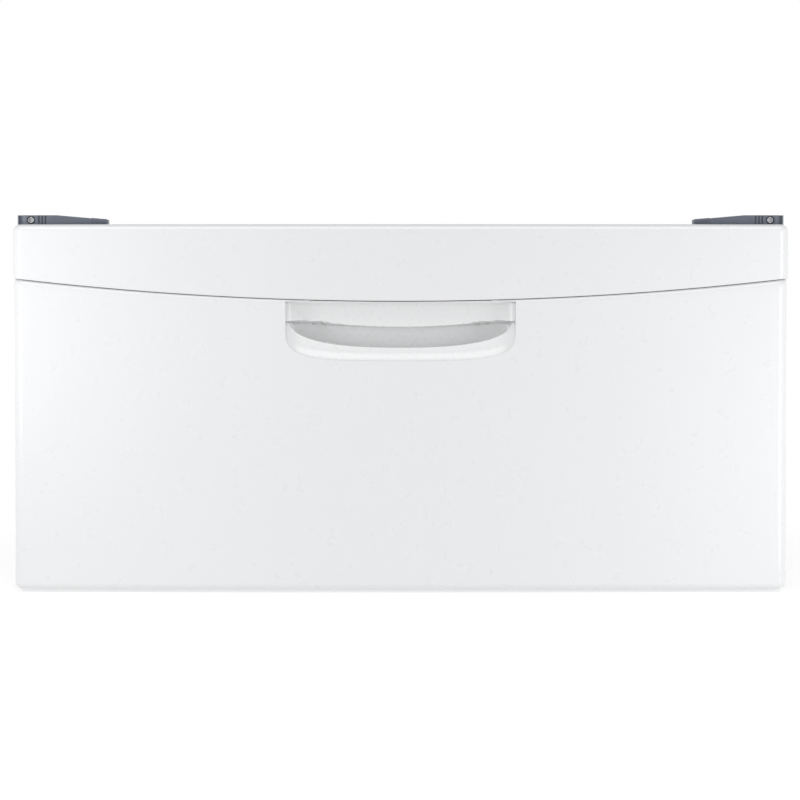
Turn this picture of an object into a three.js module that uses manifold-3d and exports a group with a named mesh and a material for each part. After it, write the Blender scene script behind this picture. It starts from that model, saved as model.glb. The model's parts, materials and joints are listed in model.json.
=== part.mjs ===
// Laundry pedestal: the drawer base that a front-load washing machine stands on.
// Millimetres. +X is to the right seen from the front, -Y towards the user, +Z up, floor at z = 0.
import * as THREE from 'three';
import { mergeVertices } from 'three/addons/utils/BufferGeometryUtils.js';
import Module from 'manifold-3d';

const wasm = await Module();
wasm.setup();

// Driving sizes
const WIDTH = 686;
const DEPTH = 706;
const FLOOR_GAP = 2;            // floor to the bottom edge of the front
const FRONT_HEIGHT = 324;
const FRONT_BOW = 6;            // how far the front's ends lie behind its middle
const BAND_HEIGHT = 68;         // fixed band, at the middle
const SEAM_RISE = 20;           // the seam climbs this much from the middle to the ends
const SEAM_GAP = 1.6;
const CLEARANCE = 0.3;          // between pieces that touch

// Sheet thicknesses
const SKIN = 1.2;
const PANEL = 1;
const DECK = 1.2;
const RAIL = 2;
const POST = 1.5;
const SLIDE = 1.2;
const BOX_SHEET = 0.8;

// Front
const FACE_CORNER = 8;          // radius round the upright edges, seen from above
const OUTLINE_CORNER = 7;       // radius of the outer corners, seen from the front
const EDGE_ROUND = 6;           // radius of the top and bottom edges, seen from the side
const DRAWER_EDGE_ROUND = 7;    // radius of the drawer front's top edge
const LIP_ROUND = 2;            // radius of the band's lower edge
const DRAWER_FRONT_INSET = 1;   // the drawer front is this much narrower at each end
const DRAWER_FRONT_DEPTH = 40;
const DRAWER_STANDOFF = 4;      // closed drawer front to the cabinet
const BAND_RETURN = 14;         // depth of the band's top
const BAND_HEM = 18;            // height of the fold behind the band's top
const PLATE_INSET = 1.4;        // liner's back face inside the drawer front's rim

// Handle pocket
const POCKET_HALF = 101.5;
const POCKET_HEIGHT = 53;       // seam to the bottom of the pocket
const POCKET_CURVE = 28;        // height over which the pocket's lower outline curves
const POCKET_POWER = 3.6;       // squareness of that outline
const LIP_HEIGHT = 11.5;        // pocket bottom to the top of the finger lip
const LIP_SIDE = 3;
const LIP_POWER = 2.5;
const LIP_SETBACK = 8;          // front of the cup to the lip
const LIP_THICKNESS = 3;
const CUP_WALL = 2;
const CUP_DEPTH = 34;
const CUP_FLANGE = 8;

// Cabinet
const SIDE_FLANGE = 24;
const SIDE_INSET = 1;           // side panels inside the band's ends
const SIDE_FLOOR_GAP = 8;
const DECK_DROP = 4;            // deck below the top of the front
const DECK_FLANGE = 22;
const DECK_BEAD = 2.5;
const DECK_BEADS = 4;
const BEAD_WIDTH = 36;
const BACK_BEADS = 3;
const POST_DEPTH = 75;
const RAIL_HEIGHT = 30;
const RAIL_DEPTH = 60;
const TOP_RAIL_HEIGHT = 26;

// Drawer box and slides
const BOX_CLEARANCE = 4;        // drawer box above the foot studs
const BOX_TOP_DROP = 30;        // box rim below the middle of the seam
const BOX_BACK_GAP = 62;        // box to the inside of the back panel
const BOX_FLANGE = 12;
const SLIDE_HEIGHT = 46;
const SLIDE_THICKNESS = 12.7;
const SLIDE_SEAT = 20;          // outer member's hold on the rear post
const SLIDE_FLANGE = 10;
const MEMBER_SHORTER = 20;      // middle and inner members end before the outer one
const BALL_RADIUS = 1.75;
const BALLS_PER_ROW = 6;
const CAGE_SHEET = 0.6;
const CAGE_LENGTH = 260;
const CAGE_START = 125;         // front of the slide to the front of a ball cage

// Levelling feet
const PAD_RADIUS = 22;
const PAD_HEIGHT = 10;
const PAD_RIM = 4;              // height of the pad's straight rim
const PAD_NECK = 11;            // radius of its top
const STUD_RADIUS = 5;
const COLLAR_RADIUS = 9;        // hexagon that a spanner turns
const COLLAR_GAP = 3;
const SOCKET_DEPTH = 6;
const NUT_RADIUS = 9.8;
const NUT_HEIGHT = 8;
const STUD_ABOVE_NUT = 1.5;
const FOOT_INSET = 52;          // foot centre inside the side of the cabinet

// Holders for the feet of the appliance above
const HOLDER_LENGTH = 81;
const HOLDER_DEPTH = 67;
const HOLDER_WALL = 14;
const HOLDER_BASE = 3;
const HOLDER_HEIGHT = 12;       // top of the holder above the deck
const HOLDER_SLOPE = 4;         // its top falls this much at the inner end
const HOLDER_FLAT = 36;         // level part of its top
const HOLDER_CORNER = 9;
const HOLDER_SET = 3;           // holder behind the deck's front edge
const HOLDER_EDGE = 1;          // holder inside the deck's side
const HOLDER_BOLT_AT = 13;      // bolt axis from the holder's outer end
const BOLT_RADIUS = 2;
const BOLT_HEAD = 3.4;
const BOLT_HEAD_HEIGHT = 2.4;
const BOLT_LENGTH = 13;

// Small fasteners and buffers
const SCREW_RADIUS = 2;
const SCREW_HEAD = 4;
const SCREW_HEAD_HEIGHT = 1.8;
const SCREW_LENGTH = 8;
const SCREW_PAD = 6;            // radius of the raised seats on the liner
const TAB_WIDTH = 22;
const BUMPER_RADIUS = 6;

// Facets
const FACE_STEPS = 20;
const CORNER_STEPS = 3;
const ROUND_STEPS = 3;
const DISC_STEPS = 16;
const BOLT_FACETS = 12;
const SCREW_FACETS = 8;
const HEXAGON = 6;
const POCKET_STEPS = 14;
const RAD90 = Math.PI / 2;

// Places that follow from the sizes
const HALF = WIDTH / 2;
const FACE_Y = -DEPTH / 2;
const BACK_Y = DEPTH / 2;
const FRONT_TOP = FLOOR_GAP + FRONT_HEIGHT;
const SEAM_Z = FRONT_TOP - BAND_HEIGHT;
const SEAM_RADIUS = (HALF * HALF + SEAM_RISE * SEAM_RISE) / (2 * SEAM_RISE);
const DRAWER_BACK_Y = FACE_Y + DRAWER_FRONT_DEPTH;
const CABINET_Y = DRAWER_BACK_Y + DRAWER_STANDOFF;
const CABINET_BACK_Y = BACK_Y - PANEL - CLEARANCE;
const CABINET_HALF = HALF - SIDE_INSET;
const DECK_TOP = FRONT_TOP - DECK_DROP;
const DECK_HALF = HALF - SKIN - CLEARANCE;
const DECK_Y = FACE_Y + BAND_RETURN + CLEARANCE;
const SIDE_TOP = DECK_TOP - DECK - CLEARANCE;
const INSIDE_HALF = CABINET_HALF - PANEL - CLEARANCE;
const INSIDE_Y = CABINET_Y + PANEL + CLEARANCE;
const INSIDE_BACK_Y = CABINET_BACK_Y - PANEL - CLEARANCE;
const POST_INNER = INSIDE_HALF - SIDE_FLANGE;
const RAIL_Z = SIDE_FLOOR_GAP + PANEL + CLEARANCE;
const RAIL_TOP = RAIL_Z + RAIL_HEIGHT;
const NUT_Z = RAIL_TOP + CLEARANCE;
const STUD_TOP = NUT_Z + NUT_HEIGHT + STUD_ABOVE_NUT;
const BOX_Z = STUD_TOP + BOX_CLEARANCE;
const BOX_TOP = SEAM_Z - BOX_TOP_DROP;
const BOX_HALF = POST_INNER - SLIDE_THICKNESS - 2 * CLEARANCE;
const BOX_Y = DRAWER_BACK_Y + CLEARANCE;
const BOX_BACK_Y = BACK_Y - BOX_BACK_GAP;
const SLIDE_Z = (BOX_Z + BOX_TOP) / 2 + CLEARANCE;
const SLIDE_OUT = POST_INNER - CLEARANCE;
const SLIDE_IN = SLIDE_OUT - SLIDE_THICKNESS;
const SLIDE_Y = INSIDE_Y + CLEARANCE;
const REAR_POST_Y = INSIDE_BACK_Y - POST_DEPTH;
const SLIDE_BACK_Y = REAR_POST_Y + SLIDE_SEAT;
const FRONT_FOOT_Y = INSIDE_Y + RAIL_DEPTH / 2;
const REAR_FOOT_Y = INSIDE_BACK_Y - RAIL_DEPTH / 2;
const FOOT_X = CABINET_HALF - FOOT_INSET;
const HOLDER_Z = DECK_TOP + CLEARANCE;
const HOLDER_TOP = DECK_TOP + HOLDER_HEIGHT;
const CORNERS = [
  { name: 'front_left', side: -1, end: -1 },
  { name: 'front_right', side: 1, end: -1 },
  { name: 'rear_left', side: -1, end: 1 },
  { name: 'rear_right', side: 1, end: 1 },
];
const SIDES = [
  { name: 'left', side: -1 },
  { name: 'right', side: 1 },
];

// Materials
const finish = (color, roughness, metalness) => ({ color, roughness, metalness });
const ENAMEL = finish(0xf1f2f3, 0.22, 0);
const INNER_PAINT = finish(0xe6e8ea, 0.4, 0);
const GALVANISED = finish(0xb4b9bd, 0.45, 0.9);
const BRIGHT_STEEL = finish(0xc9ccd0, 0.25, 1);
const MOULDED = finish(0xeff0f1, 0.35, 0);
const HOLDER_PLASTIC = finish(0x7d8592, 0.45, 0);
const RUBBER = finish(0x26282b, 0.8, 0);
const ZINC = finish(0x9a9fa6, 0.35, 1);

const pedestal = new THREE.Group();

function add(name, geometry, look, x = 0, y = 0, z = 0) {
  const mesh = new THREE.Mesh(geometry, new THREE.MeshStandardMaterial(look));
  mesh.name = name;
  mesh.position.set(x, y, z);
  pedestal.add(mesh);
}

// Joining and cutting
function solidOf(geometry) {
  const bare = geometry.clone();
  bare.deleteAttribute('normal');
  bare.deleteAttribute('uv');
  const merged = mergeVertices(bare, 1e-4);
  const triVerts = Uint32Array.from(merged.index.array);
  const vertProperties = Float32Array.from(merged.attributes.position.array);
  return new wasm.Manifold(new wasm.Mesh({ numProp: 3, vertProperties, triVerts }));
}

function geometryOf(solid) {
  const { vertProperties, triVerts } = solid.getMesh();
  const geometry = new THREE.BufferGeometry();
  geometry.setAttribute('position', new THREE.BufferAttribute(vertProperties, 3));
  geometry.setIndex(new THREE.BufferAttribute(triVerts, 1));
  const flat = geometry.toNonIndexed();
  flat.computeVertexNormals();
  return flat;
}

const join = (...parts) => geometryOf(parts.map(solidOf).reduce((a, b) => a.add(b)));
const cut = (body, ...tools) => geometryOf(tools.map(solidOf).reduce((a, b) => a.subtract(b), solidOf(body)));
const common = (a, b) => geometryOf(solidOf(a).intersect(solidOf(b)));

// A copy mirrored across the planes x = 0 and y = 0, wherever side or end is negative
function mirrored(geometry, side, end = 1) {
  const copy = geometry.index ? geometry.toNonIndexed() : geometry.clone();
  copy.scale(side, end, 1);
  if (side * end < 0) {
    for (const attribute of Object.values(copy.attributes)) {
      const size = attribute.itemSize;
      const values = attribute.array;
      for (let i = 0; i < values.length; i += 3 * size) {
        const second = values.slice(i + size, i + 2 * size);
        values.copyWithin(i + size, i + 2 * size, i + 3 * size);
        values.set(second, i + 2 * size);
      }
    }
  }
  return copy;
}

// Boxes, extrusions and turned pieces
function box(x0, x1, y0, y1, z0, z1) {
  const geometry = new THREE.BoxGeometry(x1 - x0, y1 - y0, z1 - z0);
  return geometry.translate((x0 + x1) / 2, (y0 + y1) / 2, (z0 + z1) / 2);
}

const straight = (depth) => ({ depth, bevelEnabled: false, curveSegments: ROUND_STEPS });

// The outline is drawn in x and y
function alongZ(shape, z0, z1) {
  return new THREE.ExtrudeGeometry(shape, straight(z1 - z0)).translate(0, 0, z0);
}

// The outline is drawn in x and z
function alongY(shape, y0, y1) {
  return new THREE.ExtrudeGeometry(shape, straight(y1 - y0)).rotateX(RAD90).translate(0, y1, 0);
}

// The outline is drawn in y and z
const YZX = new THREE.Matrix4().makeBasis(
  new THREE.Vector3(0, 1, 0),
  new THREE.Vector3(0, 0, 1),
  new THREE.Vector3(1, 0, 0),
);

function alongX(shape, x0, x1) {
  return new THREE.ExtrudeGeometry(shape, straight(x1 - x0)).applyMatrix4(YZX).translate(x0, 0, 0);
}

// A bent sheet's section: the line through the points, thickened to its left
function bentSheet(points, thickness) {
  const line = points.map(([x, y]) => new THREE.Vector2(x, y));
  const normals = line.slice(1).map((p, i) => {
    const along = p.clone().sub(line[i]).normalize();
    return new THREE.Vector2(-along.y, along.x);
  });
  const offset = line.map((p, i) => {
    const before = normals[Math.max(i - 1, 0)];
    const after = normals[Math.min(i, normals.length - 1)];
    const mitre = before.clone().add(after).multiplyScalar(thickness / (1 + before.dot(after)));
    return p.clone().add(mitre);
  });
  return new THREE.Shape([...line, ...offset.reverse()]);
}

// A turned piece about the Z axis, from radius and height pairs that start and end on the axis
function turned(points, steps = DISC_STEPS) {
  const profile = points.map(([radius, z]) => new THREE.Vector2(radius, z));
  return new THREE.LatheGeometry(profile, steps).rotateX(RAD90);
}

const rod = (radius, z0, z1, steps) => turned([[0, z0], [radius, z0], [radius, z1], [0, z1]], steps);
const rodAlongY = (radius, y0, y1, steps) => rod(radius, -y1, -y0, steps).rotateX(RAD90);

// A fixing with its head at the start and its shank beyond, along Y
function screwAlongY(head, headHeight, radius, length, steps) {
  return turned([
    [0, 0],
    [head, 0],
    [head, headHeight],
    [radius, headHeight],
    [radius, length],
    [0, length],
  ], steps).rotateX(-RAD90);
}

// Shape of the front
const bow = (x) => FRONT_BOW * (x / HALF) ** 2;
const seamRise = (x) => SEAM_RADIUS - Math.sqrt(SEAM_RADIUS ** 2 - x * x);

// Positions across the front, closer together round the upright edges
function stations(half, corner) {
  const flat = half - corner;
  const round = [];
  for (let i = 0; i <= CORNER_STEPS; i++) round.push(flat + corner * Math.sin((RAD90 * i) / CORNER_STEPS));
  const middle = [];
  for (let i = 1; i < FACE_STEPS; i++) middle.push(flat * ((2 * i) / FACE_STEPS - 1));
  return [...round.map((x) => -x).reverse(), ...middle, ...round];
}

// One pressed front piece as a full solid, inset on every side but the back
function pressedFront(piece, inset) {
  const half = piece.half - inset;
  const corner = FACE_CORNER - inset;
  const front = FACE_Y + inset;
  const back = piece.back + (inset > 0 ? 1 : 0);
  const low = piece.low + inset;
  const high = piece.high - inset;
  const lowRound = Math.max(piece.lowRound - inset, CLEARANCE);
  const highRound = Math.max(piece.highRound - inset, CLEARANCE);
  const profile = new THREE.Shape();
  profile.moveTo(back, low);
  profile.lineTo(back, high);
  profile.lineTo(front + highRound, high);
  profile.absarc(front + highRound, high - highRound, highRound, RAD90, Math.PI);
  profile.absarc(front + lowRound, low + lowRound, lowRound, Math.PI, 3 * RAD90);
  const across = stations(half, corner);
  const steps = across.length - 1;
  const settings = { ...straight(steps), steps };
  const geometry = new THREE.ExtrudeGeometry(profile, settings).applyMatrix4(YZX);
  const at = geometry.attributes.position;
  const middle = (low + high) / 2;
  for (let i = 0; i < at.count; i++) {
    const x = across[Math.round(at.getX(i))];
    const over = Math.min(corner, Math.max(0, Math.abs(x) - (half - corner)));
    const drop = corner - Math.sqrt(corner * corner - over * over);
    const onSeam = piece.seamAbove ? at.getZ(i) > middle : at.getZ(i) < middle;
    at.setX(i, x);
    if (at.getY(i) < back - 1e-3) at.setY(i, at.getY(i) + bow(x) + drop);
    if (onSeam) at.setZ(i, at.getZ(i) + seamRise(x));
  }
  return common(geometry, outerCorners(piece, inset));
}

// Everything inside the rounded outer corners of a front piece, seen from the front
function outerCorners(piece, inset) {
  const half = piece.half - inset;
  const radius = OUTLINE_CORNER - inset;
  const edge = piece.seamAbove ? piece.low + inset : piece.high - inset;
  const away = piece.seamAbove ? 1 : -1;
  const far = edge + away * FRONT_HEIGHT;
  const shape = new THREE.Shape();
  shape.moveTo(-half, far);
  shape.lineTo(-half, edge + away * radius);
  shape.quadraticCurveTo(-half, edge, -half + radius, edge);
  shape.lineTo(half - radius, edge);
  shape.quadraticCurveTo(half, edge, half, edge + away * radius);
  shape.lineTo(half, far);
  return alongY(shape, FACE_Y - 1, piece.back + 2);
}

const pressedShell = (piece) => cut(pressedFront(piece, 0), pressedFront(piece, SKIN));

const BAND = {
  half: HALF,
  back: CABINET_Y - CLEARANCE,
  low: SEAM_Z + SEAM_GAP / 2,
  high: FRONT_TOP,
  lowRound: LIP_ROUND,
  highRound: EDGE_ROUND,
  seamAbove: false,
};

const DRAWER_FRONT = {
  half: HALF - DRAWER_FRONT_INSET,
  back: DRAWER_BACK_Y,
  low: FLOOR_GAP,
  high: SEAM_Z - SEAM_GAP / 2,
  lowRound: EDGE_ROUND,
  highRound: DRAWER_EDGE_ROUND,
  seamAbove: true,
};

function addFrontBand() {
  const rimBack = FACE_Y + BAND_RETURN;
  const overDeck = box(-WIDTH, WIDTH, rimBack, CABINET_Y + 1, SIDE_TOP, FRONT_TOP + 1);
  const hemHalf = DECK_HALF - OUTLINE_CORNER;
  const hem = box(-hemHalf, hemHalf, rimBack - SKIN, rimBack, FRONT_TOP - BAND_HEM, FRONT_TOP - SKIN / 2);
  add('front_band', join(cut(pressedShell(BAND), overDeck), hem), ENAMEL);
}

// Pocket outline: straight sides down from the top, then a squared-off curve below
function pocketShape(half, bottom, curve, power, top) {
  const shape = new THREE.Shape();
  shape.moveTo(half, top);
  for (let i = 0; i <= POCKET_STEPS; i++) {
    const angle = (Math.PI * i) / POCKET_STEPS;
    const across = Math.sign(Math.cos(angle)) * Math.abs(Math.cos(angle)) ** (2 / power);
    const down = Math.abs(Math.sin(angle)) ** (2 / power);
    shape.lineTo(half * across, bottom + curve * (1 - down));
  }
  shape.lineTo(-half, top);
  return shape;
}

const POCKET_BOTTOM = SEAM_Z - POCKET_HEIGHT;
const POCKET_TOP = SEAM_Z - SEAM_GAP;
const CUP_Y = FACE_Y + SKIN + CLEARANCE + bow(POCKET_HALF + CUP_FLANGE);

// The pocket's outline, grown outwards all round
function grown(by, top) {
  return pocketShape(POCKET_HALF + by, POCKET_BOTTOM - by, POCKET_CURVE + by, POCKET_POWER, top);
}

function addDrawerFront() {
  const above = SEAM_Z + SEAM_RISE;
  const pocket = alongY(grown(0, above), FACE_Y - 1, CUP_Y);
  const room = CUP_FLANGE + CLEARANCE;
  const behind = alongY(grown(room, above), CUP_Y, DRAWER_BACK_Y + 1);
  add('drawer_front_skin', cut(pressedShell(DRAWER_FRONT), pocket, behind), ENAMEL);
}

// A scoop behind the skin, with an upright lip for the fingers to pull on
function addHandleCup() {
  const back = CUP_Y + CUP_DEPTH;
  const flange = alongY(grown(CUP_FLANGE, POCKET_TOP), CUP_Y, CUP_Y + CUP_WALL);
  const shell = alongY(grown(CUP_WALL, POCKET_TOP), CUP_Y, back);
  const hollow = alongY(grown(0, POCKET_TOP + 1), CUP_Y - 1, back - CUP_WALL);
  const above = pocketShape(
    POCKET_HALF - LIP_SIDE,
    POCKET_BOTTOM + LIP_HEIGHT,
    POCKET_CURVE - LIP_SIDE,
    LIP_POWER,
    POCKET_TOP + 1,
  );
  const lipY = CUP_Y + LIP_SETBACK;
  const lip = cut(
    alongY(grown(CUP_WALL / 2, POCKET_TOP), lipY, lipY + LIP_THICKNESS),
    alongY(above, lipY - 1, lipY + LIP_THICKNESS + 1),
  );
  add('handle_cup', join(cut(join(flange, shell), hollow), lip), MOULDED);
}

// Places of the four screws that hold the drawer front, in x and z
function frontScrewPlaces() {
  const x = BOX_HALF - BOX_SHEET - TAB_WIDTH / 2;
  const quarter = (BOX_TOP - BOX_Z) / 4;
  return SIDES.flatMap(({ name, side }) => [
    { name: `lower_${name}`, x: side * x, z: BOX_Z + quarter },
    { name: `upper_${name}`, x: side * x, z: BOX_TOP - quarter },
  ]);
}

const screwHoles = (y0, y1) => frontScrewPlaces().map(({ x, z }) => {
  return rodAlongY(SCREW_RADIUS + CLEARANCE, y0, y1, SCREW_FACETS).translate(x, 0, z);
});

function addDrawerLiner() {
  const gap = SKIN + CLEARANCE;
  const half = DRAWER_FRONT.half - gap;
  const low = FLOOR_GAP + gap;
  const shape = new THREE.Shape();
  shape.moveTo(-half, low + OUTLINE_CORNER);
  shape.lineTo(-half + OUTLINE_CORNER, low);
  shape.lineTo(half - OUTLINE_CORNER, low);
  shape.lineTo(half, low + OUTLINE_CORNER);
  for (const x of stations(half, 1).reverse()) shape.lineTo(x, DRAWER_FRONT.high - gap + seamRise(x));
  const back = DRAWER_BACK_Y - PLATE_INSET;
  const plate = alongY(shape, back - BOX_SHEET, back);
  const pads = frontScrewPlaces().map(({ x, z }) => {
    const pad = rodAlongY(SCREW_PAD, back - BOX_SHEET / 2, DRAWER_BACK_Y, BOLT_FACETS);
    return pad.translate(x, 0, z);
  });
  const holes = screwHoles(back - 2 * BOX_SHEET, DRAWER_BACK_Y + 1);
  add('drawer_front_liner', cut(join(plate, ...pads), ...holes), INNER_PAINT);
}

// Drawer box
function addDrawerBox() {
  const side = bentSheet([
    [BOX_HALF - BOX_FLANGE, BOX_Z],
    [BOX_HALF, BOX_Z],
    [BOX_HALF, BOX_TOP],
    [BOX_HALF - BOX_FLANGE, BOX_TOP],
    [BOX_HALF - BOX_FLANGE, BOX_TOP - BOX_FLANGE / 2],
  ], BOX_SHEET);
  const tab = box(
    BOX_HALF - BOX_SHEET - TAB_WIDTH,
    BOX_HALF - BOX_SHEET / 2,
    BOX_Y,
    BOX_Y + BOX_SHEET,
    BOX_Z + BOX_SHEET + 2,
    BOX_TOP - BOX_FLANGE,
  );
  const holes = screwHoles(BOX_Y - 1, BOX_Y + BOX_SHEET + 1);
  const panel = cut(join(alongY(side, BOX_Y, BOX_BACK_Y), tab), ...holes);
  for (const { name, side: way } of SIDES) add(`drawer_side_${name}`, mirrored(panel, way), GALVANISED);

  const inside = BOX_HALF - BOX_SHEET - CLEARANCE;
  const floorZ = BOX_Z + BOX_SHEET + CLEARANCE;
  const front = BOX_Y + BOX_SHEET + CLEARANCE;
  const floor = bentSheet([
    [front, floorZ + BOX_FLANGE / 2],
    [front, floorZ],
    [BOX_BACK_Y - BOX_SHEET - CLEARANCE, floorZ],
  ], BOX_SHEET);
  const floorInset = inside - TAB_WIDTH;
  const corners = SIDES.map(({ side: way }) => {
    const sheet = box(floorInset, WIDTH, front - 1, front + BOX_SHEET, floorZ + BOX_SHEET, BOX_TOP);
    return mirrored(sheet, way);
  });
  add('drawer_floor', cut(alongX(floor, -inside, inside), ...corners), GALVANISED);

  const rearHalf = inside;
  const rear = bentSheet([
    [BOX_BACK_Y - BOX_FLANGE, floorZ + BOX_SHEET + CLEARANCE],
    [BOX_BACK_Y, floorZ + BOX_SHEET + CLEARANCE],
    [BOX_BACK_Y, BOX_TOP],
    [BOX_BACK_Y - BOX_FLANGE, BOX_TOP],
  ], BOX_SHEET);
  const rearCorners = SIDES.map(({ side: way }) => {
    const rim = box(BOX_HALF - BOX_FLANGE - CLEARANCE, WIDTH, 0, BACK_Y, BOX_TOP - BOX_FLANGE, FRONT_TOP);
    return mirrored(rim, way);
  });
  add('drawer_back', cut(alongX(rear, -rearHalf, rearHalf), ...rearCorners), GALVANISED);

  for (const { name, x, z } of frontScrewPlaces()) {
    const screw = screwAlongY(SCREW_HEAD, SCREW_HEAD_HEIGHT, SCREW_RADIUS, SCREW_LENGTH, SCREW_FACETS);
    const seat = BOX_Y + BOX_SHEET + CLEARANCE + SCREW_HEAD_HEIGHT;
    add(`drawer_screw_${name}`, mirrored(screw, 1, -1), ZINC, x, seat, z);
  }
}

// Slides, drawn for the right-hand side as sections in x and z about the slide's own axis
const OUTER_HALF = SLIDE_HEIGHT / 2;
const rowStep = SLIDE + 2 * CLEARANCE + 2 * BALL_RADIUS;
const MIDDLE_HALF = OUTER_HALF - rowStep;
const INNER_HALF = MIDDLE_HALF - rowStep;
const MIDDLE_OUT = SLIDE_OUT - SLIDE - CAGE_SHEET - 2 * CLEARANCE;
const BALL_X = (SLIDE_IN + SLIDE_OUT) / 2 - 1;
const slideChannel = (web, tip, half, sheet) => bentSheet([
  [tip, SLIDE_Z - half],
  [web, SLIDE_Z - half],
  [web, SLIDE_Z + half],
  [tip, SLIDE_Z + half],
], tip < web ? sheet : -sheet);

function ballCage(web, half) {
  const row = half - SLIDE - CLEARANCE - BALL_RADIUS;
  const sheet = CAGE_SHEET;
  const start = SLIDE_Y + CAGE_START;
  const channel = alongY(slideChannel(web, BALL_X - 2, row + sheet / 2, sheet), start, start + CAGE_LENGTH);
  const balls = [];
  for (let i = 0; i < BALLS_PER_ROW; i++) {
    const y = start + (CAGE_LENGTH * (i + 0.5)) / BALLS_PER_ROW;
    for (const way of [-1, 1]) {
      balls.push(new THREE.OctahedronGeometry(BALL_RADIUS, 1).translate(BALL_X, y, SLIDE_Z + way * row));
    }
  }
  return join(channel, ...balls);
}

function addSlides() {
  const outerSection = slideChannel(SLIDE_OUT, SLIDE_OUT - SLIDE_FLANGE, OUTER_HALF, SLIDE);
  const middleSection = slideChannel(MIDDLE_OUT, SLIDE_OUT - SLIDE_FLANGE, MIDDLE_HALF, SLIDE);
  const innerSection = slideChannel(SLIDE_IN, BALL_X + BALL_RADIUS, INNER_HALF, SLIDE);
  const memberBackY = SLIDE_BACK_Y - MEMBER_SHORTER;
  const outer = alongY(outerSection, SLIDE_Y, SLIDE_BACK_Y);
  const middle = alongY(middleSection, SLIDE_Y, memberBackY);
  const inner = alongY(innerSection, SLIDE_Y, Math.min(memberBackY, BOX_BACK_Y));
  const outerCage = ballCage(SLIDE_OUT - SLIDE - CLEARANCE, OUTER_HALF);
  const innerCage = ballCage(MIDDLE_OUT - SLIDE - CLEARANCE, MIDDLE_HALF);
  for (const { name, side } of SIDES) {
    add(`slide_outer_${name}`, mirrored(outer, side), GALVANISED);
    add(`slide_middle_${name}`, mirrored(middle, side), GALVANISED);
    add(`slide_inner_${name}`, mirrored(inner, side), GALVANISED);
    add(`ball_cage_outer_${name}`, mirrored(outerCage, side), BRIGHT_STEEL);
    add(`ball_cage_inner_${name}`, mirrored(innerCage, side), BRIGHT_STEEL);
  }
}

// Cabinet
function addSidePanels() {
  const tray = cut(
    box(CABINET_HALF - SIDE_FLANGE, CABINET_HALF, CABINET_Y, CABINET_BACK_Y, SIDE_FLOOR_GAP, SIDE_TOP),
    box(
      0,
      CABINET_HALF - PANEL,
      CABINET_Y + PANEL,
      CABINET_BACK_Y - PANEL,
      SIDE_FLOOR_GAP + PANEL,
      SIDE_TOP - PANEL,
    ),
  );
  for (const { name, side } of SIDES) add(`side_panel_${name}`, mirrored(tray, side), ENAMEL);
}

// A flat run from one place to another with shallow beads pressed into it, as height offsets
function beaded(from, to, count, depth) {
  const pitch = (to - from) / count;
  const points = [];
  for (let i = 0; i < count; i++) {
    const middle = from + pitch * (i + 0.5);
    points.push([middle - BEAD_WIDTH / 2, 0], [middle - BEAD_WIDTH / 2 + 2 * Math.abs(depth), depth]);
    points.push([middle + BEAD_WIDTH / 2 - 2 * Math.abs(depth), depth], [middle + BEAD_WIDTH / 2, 0]);
  }
  return points;
}

function addDeck() {
  const under = DECK_TOP - DECK;
  const backY = INSIDE_BACK_Y;
  const plain = HOLDER_DEPTH + BEAD_WIDTH / 2;
  const beads = beaded(DECK_Y + plain, backY - plain, DECK_BEADS, -DECK_BEAD);
  const section = bentSheet([
    [DECK_Y + DECK, under - DECK_FLANGE],
    [DECK_Y + DECK, under],
    ...beads.map(([y, z]) => [y, under + z]),
    [backY - DECK, under],
    [backY - DECK, under - DECK_FLANGE],
  ], DECK);
  const flangeHalf = POST_INNER - 2 * CLEARANCE;
  const notches = SIDES.map(({ side }) => {
    return mirrored(box(flangeHalf, WIDTH, FACE_Y, BACK_Y + 1, 0, under), side);
  });
  const beadEnds = SIDES.map(({ side }) => {
    const strip = box(flangeHalf, DECK_HALF, DECK_Y, backY, under, DECK_TOP);
    return mirrored(strip, side);
  });
  const plate = cut(alongX(section, -flangeHalf - 1, flangeHalf + 1), ...notches);
  add('top_deck', join(plate, ...beadEnds), ENAMEL);
}

function addBackPanel() {
  const low = SIDE_FLOOR_GAP + PANEL;
  const high = DECK_TOP - DECK - CLEARANCE;
  const beads = beaded(RAIL_TOP + BEAD_WIDTH, high - DECK_FLANGE - BEAD_WIDTH, BACK_BEADS, -DECK_BEAD);
  const inner = BACK_Y - PANEL;
  const section = bentSheet([
    [inner, high],
    ...beads.reverse().map(([z, depth]) => [inner + depth, z]),
    [inner, low],
  ], PANEL);
  const half = POST_INNER - CLEARANCE;
  const strip = box(half - PANEL, CABINET_HALF - CLEARANCE, inner, BACK_Y, low, high);
  const panel = join(alongX(section, -half, half), strip, mirrored(strip, -1));
  add('back_panel', panel, GALVANISED);
}

function railSection(y0, y1, z0, z1, sheet) {
  return bentSheet([[y0, z0], [y0, z1], [y1, z1], [y1, z0]], -sheet);
}

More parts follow.
